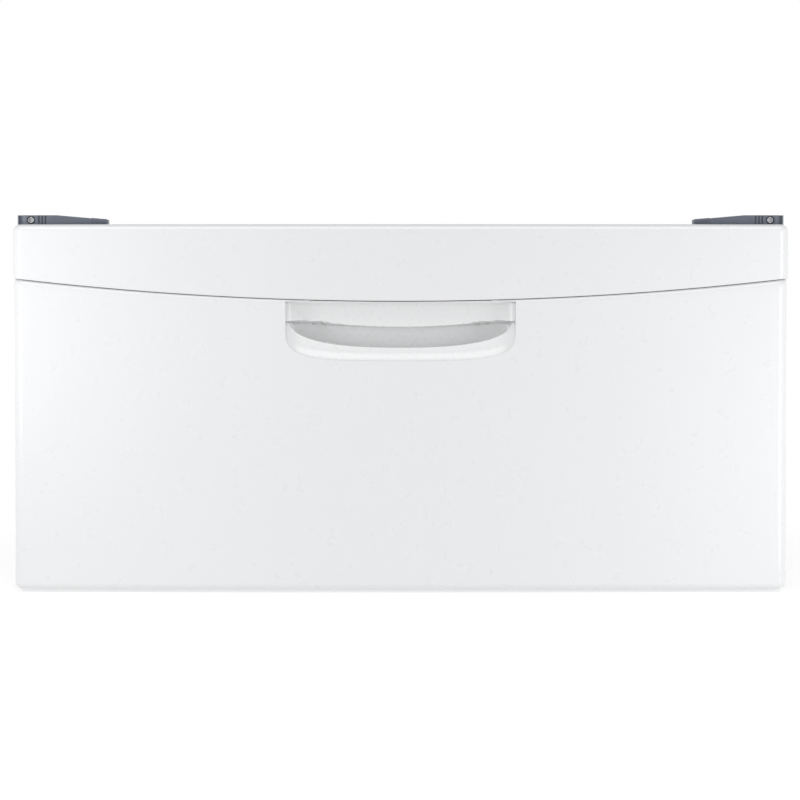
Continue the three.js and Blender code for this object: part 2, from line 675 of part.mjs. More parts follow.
function addRails() {
  const frontEnd = INSIDE_Y + RAIL_DEPTH;
  const backStart = INSIDE_BACK_Y - RAIL_DEPTH;
  const frontBase = railSection(INSIDE_Y, frontEnd, RAIL_Z, RAIL_TOP, RAIL);
  const rearBase = railSection(backStart, INSIDE_BACK_Y, RAIL_Z, RAIL_TOP, RAIL);
  const frontRail = alongX(frontBase, -INSIDE_HALF, INSIDE_HALF);
  const rearRail = alongX(rearBase, -INSIDE_HALF, INSIDE_HALF);
  const holes = (y) => SIDES.map(({ side }) => {
    return rod(STUD_RADIUS + CLEARANCE, RAIL_Z, RAIL_TOP + 1, BOLT_FACETS).translate(side * FOOT_X, y, 0);
  });
  add('base_rail_front', cut(frontRail, ...holes(FRONT_FOOT_Y)), GALVANISED);
  add('base_rail_rear', cut(rearRail, ...holes(REAR_FOOT_Y)), GALVANISED);

  const sideSection = bentSheet([
    [POST_INNER, RAIL_Z],
    [POST_INNER, RAIL_TOP],
    [INSIDE_HALF, RAIL_TOP],
    [INSIDE_HALF, RAIL_Z],
  ], -RAIL);
  const sideRail = alongY(sideSection, frontEnd + CLEARANCE, backStart - CLEARANCE);
  for (const { name, side } of SIDES) add(`base_rail_${name}`, mirrored(sideRail, side), GALVANISED);

  const topHalf = POST_INNER - CLEARANCE;
  const topZ = DECK_TOP - DECK - DECK_BEAD - CLEARANCE;
  const lowZ = topZ - TOP_RAIL_HEIGHT;
  const deckFront = DECK_Y + DECK + CLEARANCE;
  const deckBack = INSIDE_BACK_Y - DECK - CLEARANCE;
  const frontSection = railSection(deckFront, deckFront + RAIL_DEPTH, lowZ, topZ, POST);
  const rearSection = railSection(deckBack - RAIL_DEPTH, deckBack, lowZ, topZ, POST);
  add('top_rail_front', alongX(frontSection, -topHalf, topHalf), GALVANISED);
  add('top_rail_rear', alongX(rearSection, -topHalf, topHalf), GALVANISED);
}

function addPosts() {
  const section = bentSheet([
    [INSIDE_HALF, 0],
    [POST_INNER, 0],
    [POST_INNER, POST_DEPTH],
    [INSIDE_HALF, POST_DEPTH],
  ], -POST);
  const post = alongZ(section, RAIL_TOP + CLEARANCE, SIDE_TOP - PANEL - CLEARANCE);
  for (const { name, side, end } of CORNERS) {
    const y = end < 0 ? INSIDE_Y : REAR_POST_Y;
    add(`corner_post_${name}`, mirrored(post, side), GALVANISED, 0, y, 0);
  }
}

function addBumpers() {
  const x = (POST_INNER + CABINET_HALF) / 2;
  const gap = CLEARANCE;
  const bumper = rodAlongY(BUMPER_RADIUS, DRAWER_BACK_Y + gap, CABINET_Y - gap, BOLT_FACETS);
  for (const { name, side } of SIDES) {
    add(`bumper_${name}`, bumper.clone(), RUBBER, side * x, 0, BOX_TOP);
  }
}

// A levelling foot: a rubber-soled pad with a socket, and the threaded stud that turns in it
function addFeet() {
  const socketR = STUD_RADIUS + CLEARANCE;
  const floorOfSocket = PAD_HEIGHT - SOCKET_DEPTH;
  const pad = turned([
    [0, 0],
    [PAD_RADIUS, 0],
    [PAD_RADIUS, PAD_RIM],
    [PAD_NECK, PAD_HEIGHT],
    [socketR, PAD_HEIGHT],
    [socketR, floorOfSocket],
    [0, floorOfSocket],
  ]);
  const collarZ = PAD_HEIGHT + COLLAR_GAP;
  const stud = join(
    rod(STUD_RADIUS, floorOfSocket + CLEARANCE, STUD_TOP, BOLT_FACETS),
    rod(COLLAR_RADIUS, collarZ, collarZ + NUT_HEIGHT, HEXAGON),
  );
  const nut = cut(
    rod(NUT_RADIUS, 0, NUT_HEIGHT, HEXAGON),
    rod(STUD_RADIUS + CLEARANCE, -1, NUT_HEIGHT + 1, BOLT_FACETS),
  );
  for (const { name, side, end } of CORNERS) {
    const x = side * FOOT_X;
    const y = end < 0 ? FRONT_FOOT_Y : REAR_FOOT_Y;
    add(`foot_pad_${name}`, pad.clone(), RUBBER, x, y, 0);
    add(`foot_stud_${name}`, stud.clone(), ZINC, x, y, 0);
    add(`weld_nut_${name}`, nut.clone(), ZINC, x, y, NUT_Z);
  }
}

// Holder for one foot of the appliance above, drawn for the front right corner from its outer corner
function holderGeometry() {
  const plan = new THREE.Shape();
  plan.moveTo(-HOLDER_LENGTH, 0);
  plan.lineTo(-HOLDER_CORNER, 0);
  plan.absarc(-HOLDER_CORNER, HOLDER_CORNER, HOLDER_CORNER, -RAD90, 0);
  plan.lineTo(0, HOLDER_DEPTH);
  plan.lineTo(-HOLDER_LENGTH, HOLDER_DEPTH);
  const height = HOLDER_TOP - HOLDER_Z;
  const block = alongZ(plan, 0, height);
  const seat = box(-WIDTH, -HOLDER_WALL, HOLDER_WALL, DEPTH, HOLDER_BASE, height + 1);
  const slope = new THREE.Shape();
  slope.moveTo(-HOLDER_FLAT, height);
  slope.lineTo(-HOLDER_LENGTH - 1, height - HOLDER_SLOPE);
  slope.lineTo(-HOLDER_LENGTH - 1, height + 1);
  slope.lineTo(-HOLDER_FLAT, height + 1);
  const boltZ = (HOLDER_BASE + height) / 2;
  const hole = rodAlongY(BOLT_RADIUS + CLEARANCE, -1, HOLDER_WALL + 1, BOLT_FACETS);
  const bore = rodAlongY(BOLT_HEAD + CLEARANCE, -1, BOLT_HEAD_HEIGHT + CLEARANCE, BOLT_FACETS);
  const holes = [hole, bore].map((tool) => tool.translate(-HOLDER_BOLT_AT, 0, boltZ));
  return { body: cut(block, seat, alongY(slope, -1, HOLDER_WALL + 1), ...holes), boltZ };
}

function addHolders() {
  const { body, boltZ } = holderGeometry();
  const bolt = screwAlongY(BOLT_HEAD, BOLT_HEAD_HEIGHT, BOLT_RADIUS, BOLT_LENGTH, BOLT_FACETS);
  const cornerX = DECK_HALF - HOLDER_EDGE;
  for (const { name, side, end } of CORNERS) {
    const y = end < 0 ? DECK_Y + HOLDER_SET : INSIDE_BACK_Y - HOLDER_SET;
    const place = [side * cornerX, y, HOLDER_Z];
    add(`foot_holder_${name}`, mirrored(body, side, -end), HOLDER_PLASTIC, ...place);
    const boltX = side * (cornerX - HOLDER_BOLT_AT);
    add(`holder_bolt_${name}`, mirrored(bolt, 1, -end), ZINC, boltX, y, HOLDER_Z + boltZ);
  }
}

addFrontBand();
addDrawerFront();
addHandleCup();
addDrawerLiner();
addDrawerBox();
addSlides();
addSidePanels();
addDeck();
addBackPanel();
addRails();
addPosts();
addBumpers();
addFeet();
addHolders();

export default pedestal;
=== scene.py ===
import json
import math

import bmesh
import bpy
from mathutils import Matrix, Vector


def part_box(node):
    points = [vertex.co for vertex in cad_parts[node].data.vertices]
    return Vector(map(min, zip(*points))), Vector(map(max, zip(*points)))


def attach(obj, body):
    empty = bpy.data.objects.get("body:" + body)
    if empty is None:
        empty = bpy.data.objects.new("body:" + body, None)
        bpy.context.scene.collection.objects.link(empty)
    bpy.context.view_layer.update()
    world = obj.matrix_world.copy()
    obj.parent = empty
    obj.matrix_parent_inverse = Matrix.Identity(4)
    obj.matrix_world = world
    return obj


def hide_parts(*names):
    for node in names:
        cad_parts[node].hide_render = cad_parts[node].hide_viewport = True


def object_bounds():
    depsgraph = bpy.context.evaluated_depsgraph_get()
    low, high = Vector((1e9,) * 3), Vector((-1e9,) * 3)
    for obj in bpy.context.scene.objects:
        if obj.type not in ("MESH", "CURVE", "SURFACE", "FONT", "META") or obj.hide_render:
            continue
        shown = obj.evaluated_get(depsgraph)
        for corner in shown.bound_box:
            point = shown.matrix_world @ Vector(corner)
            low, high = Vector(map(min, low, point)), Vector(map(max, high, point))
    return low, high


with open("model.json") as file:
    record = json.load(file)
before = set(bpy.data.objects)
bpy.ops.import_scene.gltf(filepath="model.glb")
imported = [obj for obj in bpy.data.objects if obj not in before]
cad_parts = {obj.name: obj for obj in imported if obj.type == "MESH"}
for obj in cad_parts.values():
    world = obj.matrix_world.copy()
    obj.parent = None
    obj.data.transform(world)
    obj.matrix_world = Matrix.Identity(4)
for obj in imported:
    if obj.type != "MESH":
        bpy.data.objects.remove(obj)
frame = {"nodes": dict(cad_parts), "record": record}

cad_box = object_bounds()

MM = 0.001
WELD = 1e-6                     # vertices closer than this are one
FLAT = math.radians(0.5)        # faces closer than this in direction are one face
SHARP = math.radians(38)        # steeper edges than this stay crisp
RIGHT_ANGLE = math.pi / 2
FULL_TURN = 2 * math.pi

# Front
FRONT_BOW = 6 * MM              # how far the front's ends lie behind its middle
SEAM_RISE = 20 * MM             # the seam climbs this much from the middle to the ends
FACE_CORNER = 8 * MM            # radius round the upright edges
EDGE_ROUND = 6 * MM             # height of the rounding along the top and bottom edges
LIP_ROUND = 2 * MM              # radius of the band's lower edge
DRAWER_ROUND = 5 * MM           # radius of the drawer front's top edge, in the middle
DRAWER_ROUND_GROWTH = 3.5 * MM  # and how much larger it is at the ends
SEAM_SLANT = 0.45               # depth of the rounded edges along the seam, as a share of their height
CAD_SEAM_GAP = 1.6 * MM         # between the CAD's band and drawer front
SEAM_GAP = 0.4 * MM             # between the fine ones, whose edges are rounder
SKIN = 1.2 * MM
CUT_EDGE_ROUND = 0.2 * MM
CUT_EDGE_ANGLE = math.radians(50)
BAND_RETURN = 14 * MM
BAND_HEM = 18 * MM
HEM_FOLD = 1.5 * MM
HEM_END = 8.5 * MM              # the hem stops this far inside the band's ends
SLIVER_LENGTH = 22 * MM         # the drawer front's top edge runs on over the pocket's ends

# Handle pocket
POCKET_HALF = 101.5 * MM
POCKET_HEIGHT = 53 * MM
POCKET_CURVE = 28 * MM          # height over which the sides curve into the bottom
POCKET_POWER = 3.6              # squareness of that curve, 2 being an ellipse
POCKET_STEPS = 44
CUP_WALL = 2 * MM
CUP_FLANGE = 8 * MM
LIP_HEIGHT = 11.5 * MM          # finger lip
LIP_SIDE = 3 * MM
LIP_POWER = 2.5
LIP_SETBACK = 6 * MM
LIP_THICKNESS = 3 * MM
LIP_CROWN = 0.5 * MM            # height of its rounded top edge
LIP_LEAN = 1.2 * MM             # how far its back slopes away downwards
LIP_ROOT = 0.1                  # share of its height where the back ends
LIP_TURN = math.radians(35)     # slope of the lip's ramp where it leaves the face
SCOOP_SIDE = 31 * MM            # reach of the round between the pocket's sides and its back
SCOOP_FLOOR = 9 * MM            # and between its floor and its back
SCOOP_DEPTH = 25 * MM           # depth of the finger room behind the lip
SCOOP_CURVE_CUT = 6 * MM
WALL_DEPTH = 12 * MM            # depth of the shallow wall above it
WALL_SIDE_DEPTH = 2 * MM        # and where that wall meets the pocket's sides
WALL_ROUND = 24 * MM            # reach of the round between them
CREASE_HEIGHT = 29.5 * MM         # lower edge of that wall, above the pocket's bottom
CREASE_RISE = 4.5 * MM            # and how much higher its ends are
CREASE_WIDTH = 1.6 * MM         # height over which the wall turns in, in the middle
CREASE_SPREAD = 0.8 * MM          # and how much more at its ends
ROOF_SETBACK = 5 * MM           # the plate over the pocket starts this far behind the face
ROOF_OVERLAP = 0.2 * MM
ROOF_GAP = 0.3 * MM
RING_STEP = 0.02 * MM           # keeps the lines on the pocket's sides apart

# Sheets
PANEL = 1 * MM
DECK = 1.2 * MM
RAIL = 2 * MM
POST = 1.5 * MM
SLIDE = 1.2 * MM
BOX_SHEET = 0.8 * MM

record = frame["record"]
nodes = frame["nodes"]
body_of = {node: body for body, members in record["behaviour"]["bodies"].items() for node in members}
CORNERS = [(depth, side) for depth in ("front", "rear") for side in ("left", "right")]
SIDES = ("left", "right")


# Making pieces

def new_object(name, bm, sharp=SHARP):
    """A smooth-shaded object from a bmesh, with its steep edges kept crisp."""
    bmesh.ops.remove_doubles(bm, verts=bm.verts, dist=WELD)
    for face in bm.faces:
        face.smooth = True
    for edge in bm.edges:
        edge.smooth = len(edge.link_faces) == 2 and edge.calc_face_angle() < sharp
    mesh = bpy.data.meshes.new(name)
    bm.to_mesh(mesh)
    bm.free()
    obj = bpy.data.objects.new(name, mesh)
    bpy.context.scene.collection.objects.link(obj)
    return obj


def applied(obj):
    """Turns the object's modifiers into mesh."""
    bpy.context.view_layer.update()
    graph = bpy.context.evaluated_depsgraph_get()
    mesh = bpy.data.meshes.new_from_object(obj.evaluated_get(graph))
    obj.modifiers.clear()
    obj.data = mesh
    return obj


def stand_in(obj, node, slot):
    """The object takes a CAD node's place, on its body, with the slot's finish."""
    weighted = obj.modifiers.new("weighted normals", "WEIGHTED_NORMAL")
    weighted.keep_sharp = True
    applied(obj)
    obj.data.materials.clear()
    obj.data.materials.append(finish(slot))
    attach(obj, body_of[node])
    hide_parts(node)
    return obj


def patch(bm, rows):
    """Quads between neighbouring rows of points."""
    grid = [[bm.verts.new(point) for point in row] for row in rows]
    for low, high in zip(grid, grid[1:]):
        for a, b, c, d in zip(low, low[1:], high[1:], high):
            bm.faces.new((a, b, c, d))


def node_shape(node):
    """A CAD node's solid with its flat faces whole again."""
    bm = bmesh.new()
    bm.from_mesh(nodes[node].data)
    bmesh.ops.remove_doubles(bm, verts=bm.verts, dist=WELD)
    bmesh.ops.dissolve_limit(bm, angle_limit=FLAT, verts=bm.verts, edges=bm.edges)
    return bm


def bevel(bm, edges, width, segments):
    if edges:
        bmesh.ops.bevel(
            bm, geom=edges, offset=width, offset_type="OFFSET", segments=segments,
            profile=0.5, affect="EDGES", clamp_overlap=True,
        )


def steep_edges(bm, angle=math.radians(25)):
    return [e for e in bm.edges if len(e.link_faces) == 2 and e.calc_face_angle() > angle]


def rounded(node, slot, width, segments=3):
    """A moulded or machined piece: the CAD solid with every edge rounded."""
    bm = node_shape(node)
    bevel(bm, steep_edges(bm), width, segments)
    return stand_in(new_object(f"{node}_fine", bm), node, slot)


def strip_width(face):
    """Width of a long narrow face."""
    around = sum(edge.calc_length() for edge in face.edges)
    return 2 * face.calc_area() / around


def bend_edges(bm, thickness, convex):
    found = []
    for edge in bm.edges:
        if len(edge.link_faces) != 2 or edge.calc_face_angle() < math.radians(15):
            continue
        wide = all(strip_width(face) > 1.5 * thickness for face in edge.link_faces)
        if wide and edge.is_convex == convex:
            found.append(edge)
    return found


def bent(node, slot, thickness, inside_radius=1.0 * MM):
    """A folded sheet: the CAD solid with round bends and broken edges."""
    bm = node_shape(node)
    bevel(bm, bend_edges(bm, thickness, True), inside_radius + thickness, 5)
    bevel(bm, bend_edges(bm, thickness, False), inside_radius, 4)
    rims = [e for e in steep_edges(bm, math.radians(60)) if e.is_convex]
    bevel(bm, rims, 0.16 * thickness, 2)
    return stand_in(new_object(f"{node}_fine", bm), node, slot)


# Finishes: one procedural material for each slot of the record

class Finish:
    """A Principled material with helpers for its procedural detail, in object coordinates."""

    def __init__(self, name, color, roughness, metallic=0.0):
        self.material = bpy.data.materials.new(name)
        self.material.use_nodes = True
        self.tree = self.material.node_tree
        self.shader = self.tree.nodes["Principled BSDF"]
        self.shader.inputs["Base Color"].default_value = (*color, 1)
        self.shader.inputs["Roughness"].default_value = roughness
        self.shader.inputs["Metallic"].default_value = metallic
        self.place = self.tree.nodes.new("ShaderNodeTexCoord").outputs["Object"]

    def link(self, source, target):
        self.tree.links.new(source, target)

    def stretched(self, scale):
        mapping = self.tree.nodes.new("ShaderNodeMapping")
        mapping.inputs["Scale"].default_value = scale
        self.link(self.place, mapping.inputs["Vector"])
        return mapping.outputs["Vector"]

    def noise(self, scale, detail=2.0, stretch=None, roughness=0.5):
        texture = self.tree.nodes.new("ShaderNodeTexNoise")
        texture.inputs["Scale"].default_value = scale
        texture.inputs["Detail"].default_value = detail
        texture.inputs["Roughness"].default_value = roughness
        self.link(self.stretched(stretch) if stretch else self.place, texture.inputs["Vector"])
        return texture.outputs["Fac"]

    def cells(self, scale, output="Distance", feature="F1", stretch=None):
        texture = self.tree.nodes.new("ShaderNodeTexVoronoi")
        texture.feature = feature
        texture.inputs["Scale"].default_value = scale
        self.link(self.stretched(stretch) if stretch else self.place, texture.inputs["Vector"])
        return texture.outputs[output]

    def span(self, value, low, high, start=0.0, end=1.0):
        """Maps a value from start..end to low..high."""
        node = self.tree.nodes.new("ShaderNodeMapRange")
        for name, number in (("From Min", start), ("From Max", end), ("To Min", low), ("To Max", high)):
            node.inputs[name].default_value = number
        self.link(value, node.inputs["Value"])
        return node.outputs["Result"]

    def tint(self, value, dark, light):
        node = self.tree.nodes.new("ShaderNodeMix")
        node.data_type = "RGBA"
        node.inputs["A"].default_value = (*dark, 1)
        node.inputs["B"].default_value = (*light, 1)
        self.link(value, node.inputs["Factor"])
        self.link(node.outputs["Result"], self.shader.inputs["Base Color"])
        return node

    def vary_roughness(self, value, low, high, start=0.3, end=0.7):
        self.link(self.span(value, low, high, start, end), self.shader.inputs["Roughness"])

    def bump(self, *layers):
        """Stacks bumps, each a height value and its depth in metres."""
        last = None
        for height, depth in layers:
            node = self.tree.nodes.new("ShaderNodeBump")
            node.inputs["Strength"].default_value = 1.0
            node.inputs["Distance"].default_value = depth
            self.link(height, node.inputs["Height"])
            if last is not None:
                self.link(last, node.inputs["Normal"])
            last = node.outputs["Normal"]
        self.link(last, self.shader.inputs["Normal"])

    def coat(self, weight, roughness):
        self.shader.inputs["Coat Weight"].default_value = weight
        self.shader.inputs["Coat Roughness"].default_value = roughness


def enamel():
    look = Finish("enamel", (0.7, 0.705, 0.712), 0.3)
    orange_peel = look.noise(420, 2, roughness=0.4)
    slow_waves = look.noise(26, 1)
    look.tint(look.noise(9, 3), (0.696, 0.701, 0.709), (0.704, 0.709, 0.717))
    look.vary_roughness(look.noise(60, 3), 0.26, 0.34)
    look.bump((slow_waves, 0.00002), (orange_peel, 0.0000015))
    look.coat(1.0, 0.14)
    return look.material


def moulded_white():
    look = Finish("moulded_white", (0.75, 0.755, 0.76), 0.3)
    look.tint(look.noise(30, 3), (0.745, 0.751, 0.757), (0.757, 0.761, 0.766))
    look.vary_roughness(look.noise(240, 4), 0.24, 0.36)
    look.bump((look.noise(1500, 3), 0.000006), (look.cells(2600), 0.000003))
    look.coat(0.8, 0.15)
    return look.material


def inner_paint():
    look = Finish("inner_paint", (0.72, 0.735, 0.75), 0.42)
    look.tint(look.noise(14, 4), (0.68, 0.695, 0.71), (0.74, 0.75, 0.765))
    look.vary_roughness(look.noise(90, 4), 0.34, 0.5)
    look.bump((look.noise(700, 3), 0.00003))
    return look.material


def galvanised():
    look = Finish("galvanised", (0.6, 0.62, 0.64), 0.42, 0.85)
    flowers = look.cells(75, "Color")
    look.tint(flowers, (0.50, 0.52, 0.545), (0.68, 0.695, 0.71))
    look.vary_roughness(look.noise(130, 5), 0.32, 0.52)
    look.bump((look.noise(900, 3), 0.00001), (look.cells(75), 0.00002))
    return look.material


def slide_steel():
    look = Finish("slide_steel", (0.6, 0.61, 0.63), 0.34, 0.95)
    drawn = look.noise(1.0, 4, stretch=(900, 14, 900))
    look.tint(drawn, (0.50, 0.515, 0.535), (0.68, 0.69, 0.70))
    look.vary_roughness(look.noise(1.0, 3, stretch=(700, 9, 700)), 0.24, 0.42)
    look.bump((drawn, 0.000012))
    return look.material


def bright_steel():
    look = Finish("bright_steel", (0.72, 0.73, 0.74), 0.2, 1.0)
    look.tint(look.noise(160, 4), (0.64, 0.65, 0.66), (0.76, 0.77, 0.78))
    look.vary_roughness(look.noise(500, 3), 0.12, 0.26)
    look.bump((look.noise(1200, 2), 0.000006))
    return look.material


def holder_plastic():
    look = Finish("holder_plastic", (0.1, 0.115, 0.15), 0.36)
    look.tint(look.noise(110, 4), (0.085, 0.098, 0.128), (0.125, 0.142, 0.18))
    look.vary_roughness(look.noise(300, 4), 0.3, 0.48)
    look.bump((look.noise(1400, 4), 0.00003), (look.cells(1800), 0.00001))
    return look.material


def zinc():
    look = Finish("zinc", (0.5, 0.51, 0.53), 0.34, 1.0)
    look.tint(look.noise(220, 4), (0.40, 0.415, 0.44), (0.58, 0.58, 0.59))
    look.vary_roughness(look.noise(600, 4), 0.26, 0.44)
    look.bump((look.noise(1600, 3), 0.00001))
    return look.material


def rubber():
    look = Finish("rubber", (0.03, 0.031, 0.034), 0.75)
    look.tint(look.noise(180, 5), (0.022, 0.023, 0.026), (0.05, 0.051, 0.054))
    look.vary_roughness(look.noise(400, 4), 0.62, 0.85)
    look.bump((look.noise(1300, 5), 0.00006))
    return look.material


MAKERS = {
    "enamel": enamel,
    "moulded_white": moulded_white,
    "inner_paint": inner_paint,
    "galvanised": galvanised,
    "slide_steel": slide_steel,
    "bright_steel": bright_steel,
    "holder_plastic": holder_plastic,
    "zinc": zinc,
    "rubber": rubber,
}
made_finishes = {}


def finish(slot):
    if slot not in made_finishes:
        made_finishes[slot] = MAKERS[slot]()
    return made_finishes[slot]


# The front's pressed shells

band_low, band_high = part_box("front_band")
drawer_low, drawer_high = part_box("drawer_front_skin")
cup_low, cup_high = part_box("handle_cup")
HALF = band_high.x
SEAM_RADIUS = (HALF * HALF + SEAM_RISE * SEAM_RISE) / (2 * SEAM_RISE)
SEAM_Z = band_low.z - CAD_SEAM_GAP / 2
POCKET_BOTTOM = SEAM_Z - POCKET_HEIGHT

CORNER_STEPS = 12
EDGE_STEPS = 10
FACE_COLUMNS = 56
FACE_ROWS = 14                  # from the straight edge up or down to the split
SEAM_ROWS = 8                   # and from there to the seam edge


def bow(x):
    return FRONT_BOW * (x / HALF) ** 2


def seam_rise(x):
    return SEAM_RADIUS - math.sqrt(SEAM_RADIUS ** 2 - x * x)


def arc(steps, first=0.0, last=RIGHT_ANGLE):
    return [first + (last - first) * i / steps for i in range(steps + 1)]


def between(low, high, steps):
    return [low + (high - low) * i / steps for i in range(steps + 1)]


def columns(half, stops):
    """Places across the front, the stops among them: x and the angle turned round the upright edge."""
    flat = half - FACE_CORNER
    marks = sorted({-flat, flat, *stops})
    places = []
    for low, high in zip(marks, marks[1:]):
        count = max(2, round(FACE_COLUMNS * (high - low) / (2 * flat)))
        places += [(x, 0.0) for x in between(low, high, count)[:-1]]
    places.append((flat, 0.0))
    turn = [(flat + FACE_CORNER * math.sin(angle), angle) for angle in arc(CORNER_STEPS)[1:]]
    return [(-x, angle) for x, angle in reversed(turn)] + places + turn


class Pressing:
    """One pressed front piece. Its seam edge follows the arc; its other edge has round outer corners."""

    def __init__(self, half, front, back, plain_z, seam_z, seam_round, way):
        self.half = half
        self.front = front
        self.back = back
        self.plain_z = plain_z      # height of the straight edge
        self.seam_z = seam_z        # height of the seam edge in the middle
        self.seam_round = seam_round
        self.way = way              # 1 where the straight edge is the upper one, else -1

    def face_y(self, x, angle):
        return self.front + bow(x) + FACE_CORNER * (1 - math.cos(angle))

    def plain_edge(self, x, angle, around):
        """A point on the rounding along the straight edge, where the outer corners are a quarter ball."""
        out = math.cos(angle) * math.sin(around)
        back = FACE_CORNER * (1 - math.cos(angle) * math.cos(around))
        return Vector((x, self.front + bow(x) + back, self.plain_z - self.way * EDGE_ROUND * (1 - out)))

    def seam_edge(self, x, angle, around):
        radius = self.seam_round(x)
        z = self.seam_z + seam_rise(x) + self.way * radius * (1 - math.sin(around))
        depth = SEAM_SLANT * radius
        return Vector((x, self.face_y(x, angle) + depth * (1 - math.cos(around)), z))

    def face_ends(self, x):
        seam = self.seam_z + seam_rise(x) + self.way * self.seam_round(x)
        return seam, self.plain_z - self.way * EDGE_ROUND


def sliver(piece, x, angle):
    """The part of the seam edge that runs on over the pocket's ends and tapers out."""
    reach = (abs(x) - POCKET_HALF + SLIVER_LENGTH) / SLIVER_LENGTH
    if reach < 0:
        return []
    turned = arc(EDGE_STEPS)[EDGE_STEPS // 2:]
    first = math.asin(1 - (1 - math.sin(turned[0])) * reach)
    line = [piece.seam_edge(x, angle, around) for around in arc(len(turned) - 1, first, RIGHT_ANGLE)]
    return line + [Vector((x, piece.back, line[-1].z))]


def add_shell(bm, piece, places, pocket=None, return_y=None):
    """The outer surface of a pressed piece, open at the back. A pocket is left open up to the seam."""
    back_y = return_y if return_y is not None else piece.back
    split = (piece.face_ends(0)[0] + piece.face_ends(0)[1]) / 2
    if pocket:
        split = POCKET_BOTTOM + POCKET_CURVE
    for (x0, a0), (x1, a1) in zip(places, places[1:]):
        inside = pocket and max(abs(x0), abs(x1)) <= POCKET_HALF + WELD
        strips, slivers = [], []
        for x, angle in ((x0, a0), (x1, a1)):
            seam_end, plain_end = piece.face_ends(x)
            y = piece.face_y(x, angle)
            near = pocket(x) if inside else split
            column = [Vector((x, back_y, piece.plain_edge(x, angle, RIGHT_ANGLE).z))]
            column += [piece.plain_edge(x, angle, around) for around in reversed(arc(EDGE_STEPS))]
            column += [Vector((x, y, z)) for z in between(plain_end, near, FACE_ROWS)[1:]]
            if inside:
                slivers.append(sliver(piece, x, angle))
            else:
                column += [Vector((x, y, z)) for z in between(near, seam_end, SEAM_ROWS)[1:]]
                column += [piece.seam_edge(x, angle, around) for around in arc(EDGE_STEPS)[1:]]
                edge = column[-1]
                column.append(Vector((x, piece.back, edge.z)))
            strips.append(column)
        patch(bm, strips)
        if slivers and all(slivers):
            patch(bm, slivers)
    # the end walls
    for x, angle in (places[0], places[-1]):
        seam_end, plain_end = piece.face_ends(x)
        y = piece.face_y(x, angle)
        line = [piece.plain_edge(x, angle, RIGHT_ANGLE)]
        line += [Vector((x, y, z)) for z in between(plain_end, split, FACE_ROWS)[1:]]
        line += [Vector((x, y, z)) for z in between(split, seam_end, SEAM_ROWS)[1:]]
        line += [piece.seam_edge(x, angle, around) for around in arc(EDGE_STEPS)[1:]]
        walls = [[Vector((p.x, max(p.y, depth), p.z)) for p in line] for depth in (back_y, piece.back)]
        patch(bm, [line, *walls])


def facing_front(bm):
    """Turns the faces of an open shell the same way, outwards at the front."""
    bmesh.ops.remove_doubles(bm, verts=bm.verts, dist=WELD)
    bmesh.ops.recalc_face_normals(bm, faces=bm.faces)
    bm.faces.ensure_lookup_table()
    foremost = min(bm.faces, key=lambda face: face.calc_center_median().y)
    if foremost.normal.y > 0:
        bmesh.ops.reverse_faces(bm, faces=bm.faces)


def solid_shell(name, bm, thickness):
    """Thickens the outer surface inwards and breaks the cut edges."""
    facing_front(bm)
    obj = new_object(name, bm)
    solid = obj.modifiers.new("thickness", "SOLIDIFY")
    solid.thickness = thickness
    solid.offset = -1
    solid.use_even_offset = True
    edge = obj.modifiers.new("edge", "BEVEL")
    edge.limit_method = "ANGLE"
    edge.angle_limit = CUT_EDGE_ANGLE
    edge.width = CUT_EDGE_ROUND
    edge.segments = 2
    applied(obj)
    return obj


def front_band():
    low = SEAM_Z + SEAM_GAP / 2
    piece = Pressing(HALF, band_low.y, band_high.y, band_high.z, low, lambda x: LIP_ROUND, 1)
    hem_half = HALF - HEM_END
    places = columns(HALF, (-hem_half, hem_half) if hem_half < HALF - FACE_CORNER else ())
    return_y = band_low.y + BAND_RETURN
    bm = bmesh.new()
    add_shell(bm, piece, places, return_y=return_y)
    hem_x = [x for x, _ in places if abs(x) <= hem_half + WELD]
    fold = [(HEM_FOLD * math.sin(a), HEM_FOLD * (1 - math.cos(a))) for a in arc(4)]
    hem = [[Vector((x, return_y + back, band_high.z - down)) for x in hem_x] for back, down in fold]
    hem.append([Vector((x, return_y + HEM_FOLD, band_high.z - BAND_HEM)) for x in hem_x])
    patch(bm, hem)
    stand_in(solid_shell("front_band_fine", bm, SKIN), "front_band", "enamel")


def pocket_lower(x):
    """Height of the pocket's outline at x."""
    share = min(1.0, abs(x) / POCKET_HALF)
    return POCKET_BOTTOM + POCKET_CURVE * (1 - (1 - share ** POCKET_POWER) ** (1 / POCKET_POWER))


def drawer_front():
    half = drawer_high.x

    def round_of(x):
        return DRAWER_ROUND + DRAWER_ROUND_GROWTH * (x / half) ** 2

    top = SEAM_Z - SEAM_GAP / 2
    piece = Pressing(half, drawer_low.y, drawer_high.y, drawer_low.z, top, round_of, -1)
    stops = [POCKET_HALF * math.copysign(abs(math.cos(a)) ** (2 / POCKET_POWER), math.cos(a))
             for a in arc(POCKET_STEPS, 0, math.pi)]
    stops += [-POCKET_HALF - CUP_FLANGE, POCKET_HALF + CUP_FLANGE]
    places = columns(half, [round(x, 7) for x in stops])
    bm = bmesh.new()
    add_shell(bm, piece, places, pocket=pocket_lower)
    stand_in(solid_shell("drawer_front_fine", bm, SKIN), "drawer_front_skin", "enamel")


# The handle cup: a hollow ramp up to the finger lip, finger room behind it, a shallow wall above

SIDE_ROWS = 14                  # up each side of the pocket
FOOT_ROWS = 3                   # of the back wall's rows, below its turn
TURN_ROWS = 6                   # and across it
OUTLINE_STEPS = 56
FADE_START = POCKET_BOTTOM + POCKET_CURVE - 4 * MM      # the lip dies out up the sides from here
FADE_HEIGHT = 14 * MM
FADE_INSET = 0.3 * MM


def eased(share):
    share = min(1.0, max(0.0, share))
    return share * share * (3 - 2 * share)


